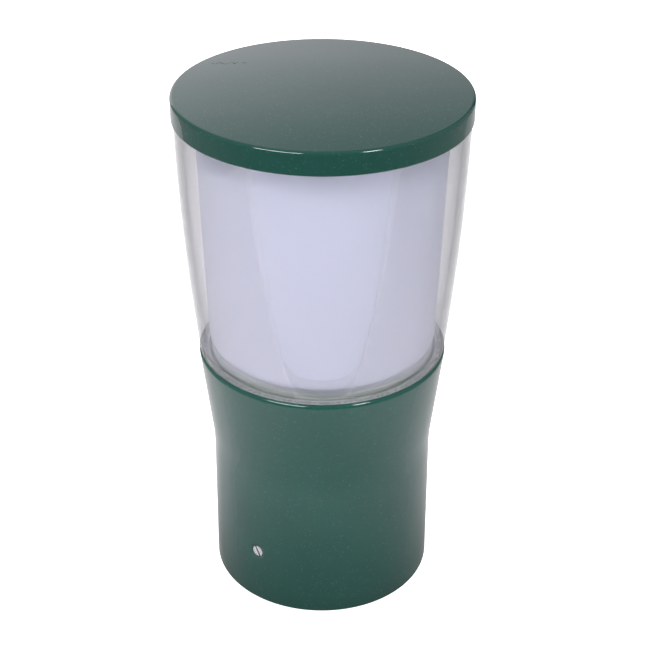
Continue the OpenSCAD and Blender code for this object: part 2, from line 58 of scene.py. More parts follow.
# ---------------------------------------------------------------- shader maths
class Value:
    """A shader socket that takes part in Python expressions."""

    def __init__(self, graph: "Graph", socket: bpy.types.NodeSocket) -> None:
        """Wraps a socket of a graph."""
        self.graph = graph
        self.socket = socket

    def __add__(self, other: "Operand") -> "Value":
        """self + other."""
        return self.graph.math("ADD", self, other)

    __radd__ = __add__

    def __sub__(self, other: "Operand") -> "Value":
        """self - other."""
        return self.graph.math("SUBTRACT", self, other)

    def __rsub__(self, other: "Operand") -> "Value":
        """other - self."""
        return self.graph.math("SUBTRACT", other, self)

    def __mul__(self, other: "Operand") -> "Value":
        """self * other."""
        return self.graph.math("MULTIPLY", self, other)

    __rmul__ = __mul__

    def __truediv__(self, other: "Operand") -> "Value":
        """self / other."""
        return self.graph.math("DIVIDE", self, other)

    def clamped(self) -> "Value":
        """This value held between 0 and 1."""
        return self.graph.math("ADD", self, 0.0, clamp=True)


Operand = Union[Value, Number]


class Graph:
    """The node tree of one material or of the surroundings."""

    def __init__(self, tree: bpy.types.NodeTree) -> None:
        """Starts on a tree.

        Args:
            tree: the tree that new nodes go into.
        """
        self.tree = tree
        self.material: Optional[bpy.types.Material] = None
        self.output: Optional[bpy.types.Node] = None
        self._place: Optional[Value] = None

    @classmethod
    def of_material(cls, name: str) -> "Graph":
        """Starts a new material.

        Args:
            name: the material's name.

        Returns:
            Its graph, with only an output node.
        """
        material = bpy.data.materials.new(name)
        material.use_nodes = True
        graph = cls(material.node_tree)
        graph.tree.nodes.clear()
        graph.material = material
        graph.output = graph.node("ShaderNodeOutputMaterial")
        return graph

    def node(self, kind: str, settings: Optional[dict] = None,
             inputs: Optional[dict] = None) -> bpy.types.Node:
        """Adds one node.

        Args:
            kind: the node's type name.
            settings: attributes set before the sockets, with "stops" for a ramp's stops.
            inputs: values or links of its sockets, by name or number.

        Returns:
            The new node.
        """
        made = self.tree.nodes.new(kind)
        for key, value in (settings or {}).items():
            if key == "stops":
                self._stops(made.color_ramp, value)
            else:
                setattr(made, key, value)
        for key, value in (inputs or {}).items():
            socket = made.inputs[key]
            if isinstance(value, Value):
                self.tree.links.new(value.socket, socket)
            elif isinstance(value, bpy.types.NodeSocket):
                self.tree.links.new(value, socket)
            else:
                socket.default_value = value
        return made

    @staticmethod
    def _stops(ramp: bpy.types.ColorRamp, stops: Sequence[tuple[float, Colour]]) -> None:
        """Gives a colour ramp its stops.

        Args:
            ramp: the ramp of a node.
            stops: each stop's place between 0 and 1, and its colour.
        """
        while len(ramp.elements) < len(stops):
            ramp.elements.new(1.0)
        for element, (place, colour) in zip(ramp.elements, stops):
            element.position = place
            element.color = (*colour, 1.0)

    def value(self, made: bpy.types.Node, output: Union[str, int] = 0) -> Value:
        """An output of a node as a Value."""
        return Value(self, made.outputs[output])

    def math(self, operation: str, a: Operand, b: Operand, clamp: bool = False) -> Value:
        """A Math node on two values."""
        made = self.node("ShaderNodeMath", {"operation": operation, "use_clamp": clamp}, {0: a, 1: b})
        return self.value(made)

    @property
    def place(self) -> Value:
        """Object coordinates.

        Returns:
            One value for the whole graph.
        """
        if self._place is None:
            self._place = self.value(self.node("ShaderNodeTexCoord"), "Object")
        return self._place

    def axis(self, name: str) -> Value:
        """X, Y or Z of the object coordinates, in metres."""
        return self.value(self.node("ShaderNodeSeparateXYZ", None, {0: self.place}), name)

    def noise(self, scale: float, detail: float = 2.0, roughness: float = 0.5,
              stretch: tuple[float, float, float] = (1, 1, 1)) -> Value:
        """Soft noise between 0 and 1.

        Args:
            scale: waves per metre.
            detail: number of octaves.
            roughness: weight of the fine octaves.
            stretch: how the pattern is squeezed along X, Y and Z.

        Returns:
            The noise as a Value.
        """
        mapped = self.node("ShaderNodeMapping", None, {"Vector": self.place, "Scale": stretch})
        made = self.node("ShaderNodeTexNoise", None, {
            "Vector": mapped.outputs[0], "Scale": scale, "Detail": detail, "Roughness": roughness})
        return self.value(made, "Fac")

    def specks(self, scale: float, size: float) -> Value:
        """Small round specks, 1 inside and 0 outside.

        Args:
            scale: cells per metre.
            size: radius of a speck, as a share of a cell.

        Returns:
            The mask as a Value.
        """
        cells = self.node("ShaderNodeTexVoronoi", None, {"Vector": self.place, "Scale": scale})
        return self.ramp(self.value(cells, "Distance"), size, size * 0.6)

    def ramp(self, value: Operand, start: float, end: float, soft: bool = False) -> Value:
        """A mask that goes from 0 to 1 over a span of values.

        Args:
            value: what the mask follows.
            start: where it is 0.
            end: where it is 1.
            soft: whether it is eased at both ends.

        Returns:
            The mask as a Value.
        """
        made = self.node("ShaderNodeMapRange", {
            "clamp": True, "interpolation_type": "SMOOTHSTEP" if soft else "LINEAR"}, {
            "Value": value, "From Min": start, "From Max": end, "To Min": 0.0, "To Max": 1.0})
        return self.value(made)

    def mix(self, mask: Operand, low: Union[Colour, Value], high: Union[Colour, Value]) -> Value:
        """A colour between two others.

        Args:
            mask: 0 for the low colour, 1 for the high one.
            low: the colour where the mask is 0.
            high: the colour where the mask is 1.

        Returns:
            The colour as a Value.
        """
        low, high = (c if isinstance(c, Value) else (*c, 1.0) for c in (low, high))
        return self.value(self.node("ShaderNodeMix", {"data_type": "RGBA"}, {0: mask, 6: low, 7: high}), 2)

    def blend(self, mask: Operand, low: Operand, high: Operand) -> Value:
        """A number that goes from low to high as the mask goes from 0 to 1."""
        return mask * (high - low) + low

    def bump(self, height: Value, depth: float, strength: float = 1.0) -> Value:
        """A Bump node on a height of 0 to 1 that stands for depth metres."""
        made = self.node("ShaderNodeBump", None, {"Height": height, "Distance": depth, "Strength": strength})
        return self.value(made)

    def surface(self, **sockets: Union[Operand, Colour]) -> bpy.types.Material:
        """Closes the material with a Principled shader.

        Args:
            sockets: the shader's inputs, with underscores for spaces.

        Returns:
            The finished material.
        """
        inputs = {}
        for key, value in sockets.items():
            name = key.replace("_", " ")
            solid = isinstance(value, tuple) and name.endswith("Color")
            inputs[name] = (*value, 1.0) if solid else value
        shader = self.node("ShaderNodeBsdfPrincipled", None, inputs)
        self.tree.links.new(shader.outputs[0], self.output.inputs["Surface"])
        return self.material


# ---------------------------------------------------------------- finishes
@dataclass(frozen=True)
class Paint:
    """Glossy enamel on a casting, with fine specks and a slight ripple."""

    name: str = "green_paint"
    colour: Colour = (0.0117, 0.0640, 0.0515)
    shade: Colour = (0.0103, 0.0585, 0.0470)
    speck: Colour = (0.30, 0.36, 0.34)
    roughness: float = 0.04
    ripple: float = 0.01 * MM
    scuff: Optional[tuple[float, float, float]] = None  # middle X, middle Y and length of a scuff mark

    def material(self) -> bpy.types.Material:
        """Builds the material.

        Returns:
            The finished material.
        """
        g = Graph.of_material(self.name)
        cloud = g.ramp(g.noise(18.0, 3.0), 0.35, 0.65)
        body = g.mix(cloud, self.shade, self.colour)
        rare = g.ramp(g.noise(260.0, 1.0), 0.44, 0.60)
        speck = (g.specks(820.0, 0.15) * rare * 0.5).clamped()
        colour = g.mix(speck, body, self.speck)
        skin = g.noise(900.0, 1.0) * 0.5 + g.noise(240.0, 1.0)
        dull = g.noise(60.0, 2.0) * 0.03 + (self.roughness - 0.015)
        if self.scuff:
            mark = self.scuffed(g)
            dull = dull + mark * 0.5
            colour = g.mix(mark * 0.6, colour, self.shade)
        return g.surface(Base_Color=colour, Roughness=dull, Normal=g.bump(skin, self.ripple), IOR=1.5)

    def scuffed(self, g: Graph) -> Value:
        """A short wavy scuff mark, 1 on the mark and 0 off it.

        Args:
            g: the material's graph.

        Returns:
            The mask as a Value.
        """
        x, y, length = self.scuff
        wave = (g.noise(190.0, 1.0) - 0.5) * 0.014
        off = g.math("ABSOLUTE", g.axis("Y") - y - wave, 0.0)
        reach = g.math("ABSOLUTE", g.axis("X") - x, 0.0)
        patchy = g.ramp(g.noise(500.0, 1.0), 0.30, 0.45)
        return g.ramp(off, 0.0010, 0.0003) * g.ramp(reach, length / 2, length / 2.4) * patchy


@dataclass(frozen=True)
class Clear:
    """Clear moulded acrylic."""

    name: str = "clear_plastic"
    tint: Colour = (0.10, 0.12, 0.10)
    density: float = 24.0
    ior: float = 1.49
    body: float = 0.38

    def material(self) -> bpy.types.Material:
        """Builds the material.

        Returns:
            The finished material.
        """
        g = Graph.of_material(self.name)
        flow = g.noise(30.0, 2.0, 0.5, (1.0, 1.0, 0.12))
        depth = g.node("ShaderNodeVolumeAbsorption", None, {
            "Color": (*self.tint, 1.0), "Density": self.density})
        g.tree.links.new(depth.outputs[0], g.output.inputs["Volume"])
        return g.surface(
            Base_Color=(1.0, 1.0, 1.0), Roughness=0.015, IOR=self.ior, Transmission_Weight=1.0,
            Alpha=self.body, Normal=g.bump(flow, 0.06 * MM))


@dataclass(frozen=True)
class Opal:
    """Opal plastic, white with a cool cast and a soft gloss."""

    name: str = "opal_plastic"
    colour: Colour = (0.725, 0.74, 0.945)
    pale: Colour = (0.74, 0.755, 0.96)

    def material(self) -> bpy.types.Material:
        """Builds the material.

        Returns:
            The finished material.
        """
        g = Graph.of_material(self.name)
        flow = g.noise(14.0, 2.0, 0.5, (1.0, 1.0, 0.2))
        return g.surface(
            Base_Color=g.mix(g.ramp(flow, 0.3, 0.7), self.colour, self.pale), Roughness=0.32, IOR=1.49,
            Normal=g.bump(g.noise(700.0, 1.0), 0.01 * MM))


@dataclass(frozen=True)
class Soft:
    """Rubber or foam: matt, slightly mottled and grained."""

    name: str
    colour: Colour
    grain: float = 1400.0
    roughness: float = 0.7

    def material(self) -> bpy.types.Material:
        """Builds the material.

        Returns:
            The finished material.
        """
        g = Graph.of_material(self.name)
        dark = tuple(0.75 * c for c in self.colour)
        spots = g.noise(self.grain, 3.0, 0.6)
        return g.surface(
            Base_Color=g.mix(g.ramp(spots, 0.3, 0.7), dark, self.colour), Roughness=self.roughness,
            Normal=g.bump(spots, 0.08 * MM))


@dataclass(frozen=True)
class Metal:
    """Bare or plated metal with fine brushing and dull patches."""

    name: str
    colour: Colour
    dull: Colour
    roughness: float = 0.3
    brush: tuple[float, float, float] = (1.0, 1.0, 6.0)

    def material(self) -> bpy.types.Material:
        """Builds the material.

        Returns:
            The finished material.
        """
        g = Graph.of_material(self.name)
        patch = g.ramp(g.noise(220.0, 4.0, 0.6), 0.35, 0.75)
        lines = g.noise(1800.0, 2.0, 0.6, self.brush)
        return g.surface(
            Base_Color=g.mix(patch, self.colour, self.dull), Metallic=1.0,
            Roughness=(patch * 0.2 + lines * 0.12 + (self.roughness - 0.1)).clamped(),
            Normal=g.bump(lines, 0.01 * MM))


@dataclass(frozen=True)
class Moulded:
    """Moulded plastic or glazed ware with a faint texture."""

    name: str
    colour: Colour
    roughness: float = 0.45
    coat: float = 0.0
    grain: float = 900.0

    def material(self) -> bpy.types.Material:
        """Builds the material.

        Returns:
            The finished material.
        """
        g = Graph.of_material(self.name)
        dark = tuple(0.88 * c for c in self.colour)
        spots = g.noise(self.grain, 2.0)
        return g.surface(
            Base_Color=g.mix(g.ramp(g.noise(90.0, 2.0), 0.3, 0.7), dark, self.colour),
            Roughness=spots * 0.1 + (self.roughness - 0.05), Coat_Weight=self.coat, Coat_Roughness=0.05,
            Normal=g.bump(spots, 0.02 * MM))


class Finish(Enum):
    """Every finish of the head."""

    GREEN_PAINT = Paint()
    # the base's green paint made darker on the lid: painted shade
    LID_PAINT = Paint("lid_paint", (0.0078, 0.0435, 0.0350), (0.0069, 0.0396, 0.0319),
                      scuff=(-0.060, 0.043, 0.027))
    # the zinc steel made brighter on the grub screws: painted highlight
    GRUB_STEEL = Metal("grub_steel", (0.90, 0.90, 0.93), (0.74, 0.74, 0.77), 0.38)
    # the seal rubber made lighter on the rim seal: painted light
    RIM_RUBBER = Soft("rim_rubber", (0.80, 0.81, 0.84))
    CLEAR_PLASTIC = Clear()
    OPAL_PLASTIC = Opal()
    SEAL_RUBBER = Soft("seal_rubber", (0.47, 0.51, 0.49))
    ZINC_STEEL = Metal("zinc_steel", (0.72, 0.72, 0.70), (0.50, 0.50, 0.48), 0.32)
    TRAY_STEEL = Metal("tray_steel", (0.60, 0.61, 0.62), (0.46, 0.47, 0.48), 0.42, (1.0, 5.0, 1.0))
    BRASS = Metal("brass", (0.72, 0.50, 0.20), (0.50, 0.34, 0.15), 0.28)
    PORCELAIN = Moulded("porcelain", (0.84, 0.83, 0.79), 0.25, 0.6, 400.0)
    TERMINAL_PLASTIC = Moulded("terminal_plastic", (0.78, 0.75, 0.66))
    GLAND_PLASTIC = Moulded("gland_plastic", (0.045, 0.046, 0.05), 0.5)
    GLAND_RUBBER = Soft("gland_rubber", (0.03, 0.03, 0.03))
    WIRE_BROWN = Moulded("wire_brown", (0.10, 0.035, 0.015), 0.4)
    WIRE_BLUE = Moulded("wire_blue", (0.02, 0.07, 0.30), 0.4)
    WIRE_EARTH = Moulded("wire_earth", (0.10, 0.30, 0.03), 0.4)
    LAMP_METAL = Metal("lamp_metal", (0.80, 0.80, 0.78), (0.62, 0.62, 0.60), 0.25)
    LAMP_WHITE = Moulded("lamp_white", (0.84, 0.84, 0.82), 0.4)
    LAMP_OPAL = Moulded("lamp_opal", (0.88, 0.88, 0.85), 0.3)

    @property
    def slot(self) -> str:
        """The record's material slot that the finish belongs to."""
        shared = {"LID_PAINT": "green_paint", "GRUB_STEEL": "zinc_steel", "RIM_RUBBER": "seal_rubber"}
        return shared.get(self.name, self.name.lower())


class Workshop:
    """Keeps each finish's material and hands it out."""

    def __init__(self) -> None:
        """Starts with no material made."""
        self._made: dict[Finish, bpy.types.Material] = {}

    def material(self, finish: Finish) -> bpy.types.Material:
        """The material of a finish, made once.

        Args:
            finish: which finish.

        Returns:
            Its material.
        """
        if finish not in self._made:
            self._made[finish] = finish.value.material()
        return self._made[finish]

    def paint(self, piece: bpy.types.Object, finish: Finish) -> None:
        """Gives all of a piece one finish."""
        piece.data.materials.clear()
        piece.data.materials.append(self.material(finish))


SHOP = Workshop()


# ---------------------------------------------------------------- modelling
def nothing_selected() -> None:
    """Leaves edit mode and deselects every object."""
    if bpy.context.mode != "OBJECT":
        bpy.ops.object.mode_set(mode="OBJECT")
    bpy.ops.object.select_all(action="DESELECT")


def make_active(piece: bpy.types.Object) -> None:
    """Selects one object only and makes it active.

    Args:
        piece: the object.
    """
    nothing_selected()
    piece.select_set(True)
    bpy.context.view_layer.objects.active = piece


def arc(centre: Point, radius: float, start: float, end: float, count: int) -> list[Point]:
    """Points along an arc in a (radius, height) profile, angles in degrees."""
    angles = (math.radians(start + (end - start) * i / count) for i in range(count + 1))
    return [(centre[0] + radius * math.cos(a), centre[1] + radius * math.sin(a)) for a in angles]


def closed(outline: Sequence[Point]) -> list[Point]:
    """An outline with its first point repeated at the end."""
    return [*outline, outline[0]]


def turned(name: str, profile: Sequence[Point], steps: int = 192, sharp: float = 32.0) -> bpy.types.Object:
    """Spins a (radius, height) profile round the Z axis.

    Args:
        name: the piece's name.
        profile: its points in metres, from axis to axis, or back to the first where it stays off the axis.
        steps: sides round the axis.
        sharp: edges that bend more than this many degrees stay sharp.

    Returns:
        The new piece.
    """
    nothing_selected()
    bpy.ops.mesh.primitive_plane_add(size=MM, location=(0, 0, 0))
    piece = bpy.context.object
    piece.name = piece.data.name = name
    bpy.ops.object.mode_set(mode="EDIT")
    bpy.ops.mesh.merge(type="CENTER")
    here = profile[0]
    bpy.ops.transform.translate(value=(here[0], 0, here[1]))
    for point in profile[1:]:
        step = (point[0] - here[0], 0, point[1] - here[1])
        bpy.ops.mesh.extrude_region_move(TRANSFORM_OT_translate={"value": step})
        here = point
    bpy.ops.mesh.select_all(action="SELECT")
    bpy.ops.mesh.spin(steps=steps, angle=TURN, center=(0, 0, 0), axis=(0, 0, 1), use_auto_merge=True)
    bpy.ops.mesh.select_all(action="SELECT")
    bpy.ops.mesh.remove_doubles(threshold=0.01 * MM)
    bpy.ops.mesh.normals_make_consistent(inside=False)
    bpy.ops.object.mode_set(mode="OBJECT")
    bpy.ops.object.shade_smooth_by_angle(angle=math.radians(sharp))
    return piece


def settle(piece: bpy.types.Object) -> None:
    """Fixes a piece's place, turn and size in its mesh."""
    make_active(piece)
    bpy.ops.object.transform_apply(location=True, rotation=True, scale=True)


def set_at(piece: bpy.types.Object, place: tuple[float, float, float], angle: float,
           tilt: float = 0.0) -> bpy.types.Object:
    """Sets a piece in its place round the head's axis.

    Args:
        piece: the piece, still at the origin.
        place: where its origin goes before the turn.
        angle: the turn about the Z axis, in degrees.
        tilt: a turn about the piece's own Y axis before that, in degrees.

    Returns:
        The same piece.
    """
    turn = math.radians(angle)
    piece.rotation_euler = (0.0, math.radians(tilt), turn)
    piece.location = Matrix.Rotation(turn, 3, "Z") @ Vector(place)
    settle(piece)
    return piece


def slab(name: str, side: tuple[float, float, float, float], lean: float, thick: float) -> bpy.types.Object:
    """A plate that stands on edge along the X axis, its far end leaning out.

    Args:
        name: the plate's name.
        side: its near end, far end, bottom and top.
        lean: how much further out the far end is at the top.
        thick: its thickness along Y.

    Returns:
        The plate.
    """
    near, far, low, high = side
    nothing_selected()
    bpy.ops.mesh.primitive_cube_add(size=1.0, location=((near + far) / 2, 0, (low + high) / 2),
                                    scale=(far - near, thick, high - low))
    plate = bpy.context.object
    plate.name = plate.data.name = name
    settle(plate)
    bpy.ops.object.mode_set(mode="EDIT")
    bpy.ops.mesh.select_mode(type="VERT")
    bpy.ops.mesh.select_all(action="DESELECT")
    bpy.ops.object.mode_set(mode="OBJECT")
    for vertex in plate.data.vertices:
        vertex.select = vertex.co.x > (near + far) / 2 and vertex.co.z > (low + high) / 2
    bpy.ops.object.mode_set(mode="EDIT")
    bpy.ops.transform.translate(value=(lean, 0, 0))
    bpy.ops.object.mode_set(mode="OBJECT")
    return plate


def cut_away(piece: bpy.types.Object, tool: bpy.types.Object) -> None:
    """Cuts a tool's shape out of a piece and removes the tool.

    Args:
        piece: the piece that is cut.
        tool: the shape that is taken out.
    """
    make_active(piece)
    cut = piece.modifiers.new("cut", "BOOLEAN")
    cut.operation, cut.object, cut.solver = "DIFFERENCE", tool, "EXACT"
    bpy.ops.object.modifier_apply(modifier=cut.name)
    bpy.data.objects.remove(tool, do_unlink=True)


def joined(piece: bpy.types.Object, others: Sequence[bpy.types.Object]) -> None:
    """Joins other pieces into one piece.

    Args:
        piece: the piece that keeps its name.
        others: the pieces that become part of it.
    """
    make_active(piece)
    for other in others:
        other.select_set(True)
    bpy.ops.object.join()


@dataclass
class SubAssembly:
    """A group of pieces that ride on one body."""

    body: str = "base"
    pieces: list[bpy.types.Object] = field(default_factory=list)

    def keep(self, node: str, finish: Finish) -> bpy.types.Object:
        """Gives a CAD node its finish and leaves it in place.

        Args:
            node: the node's name.
            finish: its finish.

        Returns:
            The node's object.
        """
        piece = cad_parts[node]
        SHOP.paint(piece, finish)
        log.info("%s: CAD node in %s", node, finish.slot)
        return piece

    def add(self, piece: bpy.types.Object, finish: Finish, *nodes: str) -> bpy.types.Object:
        """Dresses a new piece, sets it on the body and lets it stand for CAD nodes.

        Args:
            piece: the new piece.
            finish: its finish.
            nodes: the CAD nodes that it stands for.

        Returns:
            The same piece.
        """
        SHOP.paint(piece, finish)
        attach(piece, self.body)
        if nodes:
            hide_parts(*nodes)
        self.pieces.append(piece)
        log.info("%s: rides on %s, for %s", piece.name, self.body, ", ".join(nodes) or "no node")
        return piece


# ---------------------------------------------------------------- the head
@dataclass
class Base(SubAssembly):
    """The painted casting with its two seals and the holes of its grub screws and tie rods."""

    edge: float = 0.8 * MM
    draft: float = 0.6 * MM
    flare_at: float = 103.5 * MM
    flare_out: float = 8.0 * MM
    side_rings: tuple[float, ...] = (16, 28, 35, 47, 55, 70, 84)  # mm, closest round the grub screws
    flare_rings: tuple[float, ...] = (125, 140, 155, 166)  # mm
    bend: float = 9.0 * MM
    lip: float = 2.5 * MM
    bore: float = 67.0 * MM
    bore_chamfer: float = 1.5 * MM
    socket: float = 70.0 * MM
    pocket: float = 62.0 * MM
    bulkhead: tuple[float, float] = (93.0 * MM, 100.0 * MM)
    bulkhead_hole: float = 36.0 * MM
    chamber_wall: float = 5.0 * MM
    mouth: float = 61.0 * MM
    flange: float = 6.0 * MM
    groove: tuple[float, float, float] = (76.2 * MM, 80.3 * MM, 1.2 * MM)
    grub_angles: tuple[float, ...] = (234.2, 354.2, 114.2)
    grub_height: float = 41.0 * MM
    grub_hole: float = 4.05 * MM
    grub_chamfer: float = 0.9 * MM
    rod_angles: tuple[float, ...] = (30.0, 150.0, 270.0)
    rod_ring: float = 54.0 * MM
    rod_hole: float = 3.3 * MM
    rib: tuple[float, float] = (4.0 * MM, 63.0 * MM)
    rib_angles: tuple[float, ...] = (90.0, 210.0, 330.0)

    def build(self) -> None:
        """Turns the casting, drills it and adds the ribs."""
        low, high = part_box("base_housing")
        self.low, self.top, self.rim = low.z, high.z, high.x
        self.skirt = self.rim - self.flare_out
        self.slope = self.flare_out / (self.top - self.lip - self.low - self.flare_at)
        self.casting = turned("base_casting", closed(self.outline()), 256, 30.0)
        for angle in self.grub_angles:
            cut_away(self.casting, self.grub_cutter(angle))
        start, end = self.bulkhead[0] - MM, self.bulkhead[1] + MM
        for angle in self.rod_angles:
            drill = turned("drill", [(0, start), (self.rod_hole, start), (self.rod_hole, end), (0, end)], 32)
            cut_away(self.casting, set_at(drill, (self.rod_ring, 0, self.low), angle))
        joined(self.casting, [self.rib_at(angle) for angle in self.rib_angles])

    def chamber(self, height: float) -> float:
        """Radius of the wiring chamber at a height above the bottom edge."""
        return self.skirt + max(0.0, height - self.flare_at) * self.slope - self.chamber_wall

    def outline(self) -> list[Point]:
        """The casting's outline.

        Returns:
            Its points in (radius, height), from the bottom edge up the outside and down the inside.
        """
        foot = self.skirt + self.draft
        turn = Vector((self.skirt, self.flare_at))
        below = Vector((self.skirt + self.draft * self.bend / self.flare_at, self.flare_at - self.bend))
        above = turn + self.bend * Vector((self.slope, 1.0))
        start, end, floor = self.groove
        height = self.top - self.low
        flange = height - self.flange
        tilt = -math.degrees(math.atan(self.slope))
        points = [(self.bore + self.bore_chamfer, 0.0)]
        points += arc((foot - self.edge, self.edge), self.edge, -90, 0, 6)
        points += [(foot - self.draft * z * MM / self.flare_at, z * MM) for z in self.side_rings]
        points += [tuple(below.lerp(turn, t / 14).lerp(turn.lerp(above, t / 14), t / 14)) for t in range(15)]
        points += [(self.skirt + (z * MM - self.flare_at) * self.slope, z * MM) for z in self.flare_rings]
        points += arc((self.rim - self.lip, height - self.lip), self.lip, tilt, 90, 14)
        points += [(end, height), (end, height - floor), (start, height - floor), (start, height),
                   (self.mouth, height), (self.mouth, flange), (self.chamber(flange), flange),
                   (self.chamber(self.flare_at), self.flare_at), (self.chamber(0), self.bulkhead[1]),
                   (self.bulkhead_hole, self.bulkhead[1]), (self.bulkhead_hole, self.bulkhead[0]),
                   (self.pocket, self.bulkhead[0]), (self.pocket, self.socket), (self.bore, self.socket),
                   (self.bore, self.bore_chamfer)]
        return [(r, self.low + z) for r, z in points]

    def grub_cutter(self, angle: float) -> bpy.types.Object:
        """A drill with a countersink for one grub screw.

        Args:
            angle: where the screw is round the axis, in degrees.

        Returns:
            The drill, in its place.
        """
        face = self.skirt + self.draft * (1 - self.grub_height / self.flare_at)
        wide = self.grub_hole + self.grub_chamfer + MM
        start, chamfer, end = self.bore - MM, face - self.grub_chamfer, face + MM
        profile = [(0, start), (self.grub_hole, start), (self.grub_hole, chamfer), (wide, end), (0, end)]
        drill = turned("drill", profile, 64)
        return set_at(drill, (0, 0, self.low + self.grub_height), angle, 90.0)

    def rib_at(self, angle: float) -> bpy.types.Object:
        """A stiffening rib of the wiring chamber.

        Args:
            angle: where the rib is round the axis, in degrees.

        Returns:
            The rib, in its place.
        """
        thick, inner = self.rib
        low, high = self.bulkhead[1], self.top - self.low - self.flange
        outer = self.chamber(0)
        rib = slab("rib", (inner, outer + MM, low, high), self.chamber(high) - outer, thick)
        return set_at(rib, (0, 0, self.low), angle)

    def dress(self) -> None:
        """Paints the casting and dresses its two seals."""
        self.add(self.casting, Finish.GREEN_PAINT, "base_housing")
        # the rim seal gets the lighter copy of the seal rubber, which is painted light
        self.keep("rim_seal", Finish.RIM_RUBBER)
        self.keep("opal_seat_ring", Finish.SEAL_RUBBER)


@dataclass
class Diffusers(SubAssembly):
    """The clear outer and opal inner diffusers."""

    wall: float = 5.0 * MM
    edge: float = 2.0 * MM
    rim_step: float = 0.55 * MM
    curve: float = 1.66
    spigot_in: float = 2.2 * MM
    spigot: float = 2.4 * MM
    spigot_rise: float = 3.0 * MM
    opal_wall: float = 2.5 * MM
    opal_corner: float = 8.0 * MM
    opal_mouth: float = 62.0 * MM
    gap_low: float = 2.05 * MM

    def side(self, height: float) -> float:
        """Radius of the clear diffuser's outside at a height."""
        return self.centre[0] + math.sqrt(self.curve ** 2 - (height - self.centre[1]) ** 2)

    def build(self) -> None:
        """Turns both diffusers."""
        low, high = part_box("outer_diffuser")
        self.low, self.shoulder, top = low.z, high.z - self.spigot_rise, high.z
        self.low_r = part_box("base_housing")[1].x - self.rim_step
        chord = Vector((high.x - self.low_r, self.shoulder - self.low))
        reach = math.sqrt(self.curve ** 2 - chord.length_squared / 4)
        self.centre = (
            (self.low_r + high.x) / 2 - reach * chord.y / chord.length,
            (self.low + self.shoulder) / 2 + reach * chord.x / chord.length)
        edge_z = self.low + self.edge
        heights = [edge_z + (self.shoulder - edge_z) * i / 40 for i in range(1, 41)]
        spigot_r = high.x - self.spigot_in
        outline = [(self.side(self.low) - self.wall, self.low)]
        outline += arc((self.side(edge_z) - self.edge, edge_z), self.edge, -90, -7, 8)
        outline += [(self.side(z), z) for z in heights]
        outline += [(spigot_r, self.shoulder), (spigot_r, top), (spigot_r - self.spigot, top),
                    (spigot_r - self.spigot, self.shoulder)]
        outline += [(self.side(z) - self.wall, z) for z in reversed(heights)]
        self.clear = turned("clear_diffuser", closed(outline), 256)

        low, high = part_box("inner_diffuser")
        low_r = self.low_r - self.wall - self.gap_low
        mouth = self.opal_mouth
        draft = math.atan((high.x - low_r) / (high.z - low.z))
        turn_r = low_r + self.opal_corner * math.tan(draft) - self.opal_corner
        centre = (turn_r, low.z + self.opal_corner)
        lean = -math.degrees(draft)
        outline = [(mouth, low.z)]
        outline += arc(centre, self.opal_corner, -90, lean, 14)
        outline += [(high.x, high.z), (high.x - self.opal_wall, high.z)]
        outline += arc(centre, self.opal_corner - self.opal_wall, lean, -90, 10)
        outline += [(mouth, low.z + self.opal_wall)]
        self.opal = turned("opal_diffuser", closed(outline), 192)

    def dress(self) -> None:
        """Gives both their plastic."""
        self.add(self.clear, Finish.CLEAR_PLASTIC, "outer_diffuser")
        self.add(self.opal, Finish.OPAL_PLASTIC, "inner_diffuser")


